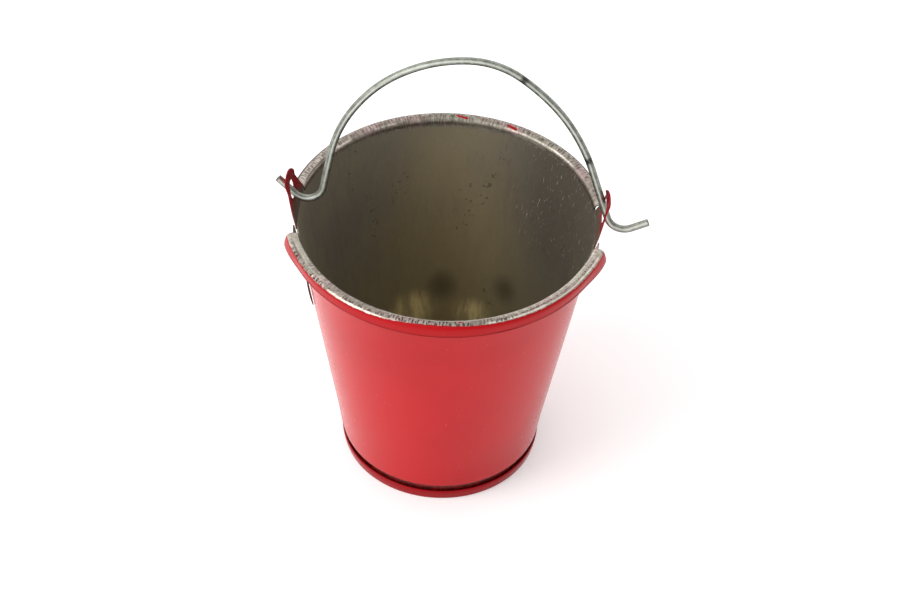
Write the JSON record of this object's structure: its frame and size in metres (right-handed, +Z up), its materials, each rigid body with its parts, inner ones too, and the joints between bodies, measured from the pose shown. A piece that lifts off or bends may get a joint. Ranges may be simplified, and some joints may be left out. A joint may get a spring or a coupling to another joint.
{
  "type": "sand bucket",
  "caption": "Small tapered sheet-metal sand bucket, red outside and bare tin inside, with a rolled rim, pierced ears and a swinging wire bail.",
  "frame": {"origin": "on the floor, on the pail's axis, at the centre of the foot ring's underside", "axes": "+Z up along the pail's axis, X through the two ears, +Y towards the side the bail leans to at rest"},
  "size_m": [0.0695, 0.0604, 0.091],
  "materials": {
    "red_paint": "gloss red paint outside; the inner faces are bare tarnished tinplate",
    "bare_tin": "bare tool-marked tinplate on the roll, gloss red paint on the outer band",
    "galvanised_wire": "dull galvanised wire"
  },
  "bodies": {
    "pail": {"body_wall": "red_paint", "rim_front": "bare_tin", "rim_rear": "bare_tin", "ear_left": "red_paint", "ear_right": "red_paint", "bottom_pan": "red_paint"},
    "bail": {"bail": "galvanised_wire"}
  },
  "joints": [
    {"name": "bail_swing", "type": "hinge", "parent": "pail", "child": "bail", "pos_m": [0, 0, 0.0618], "axis": [1, 0, 0], "range_deg": [-86, 106]}
  ]
}
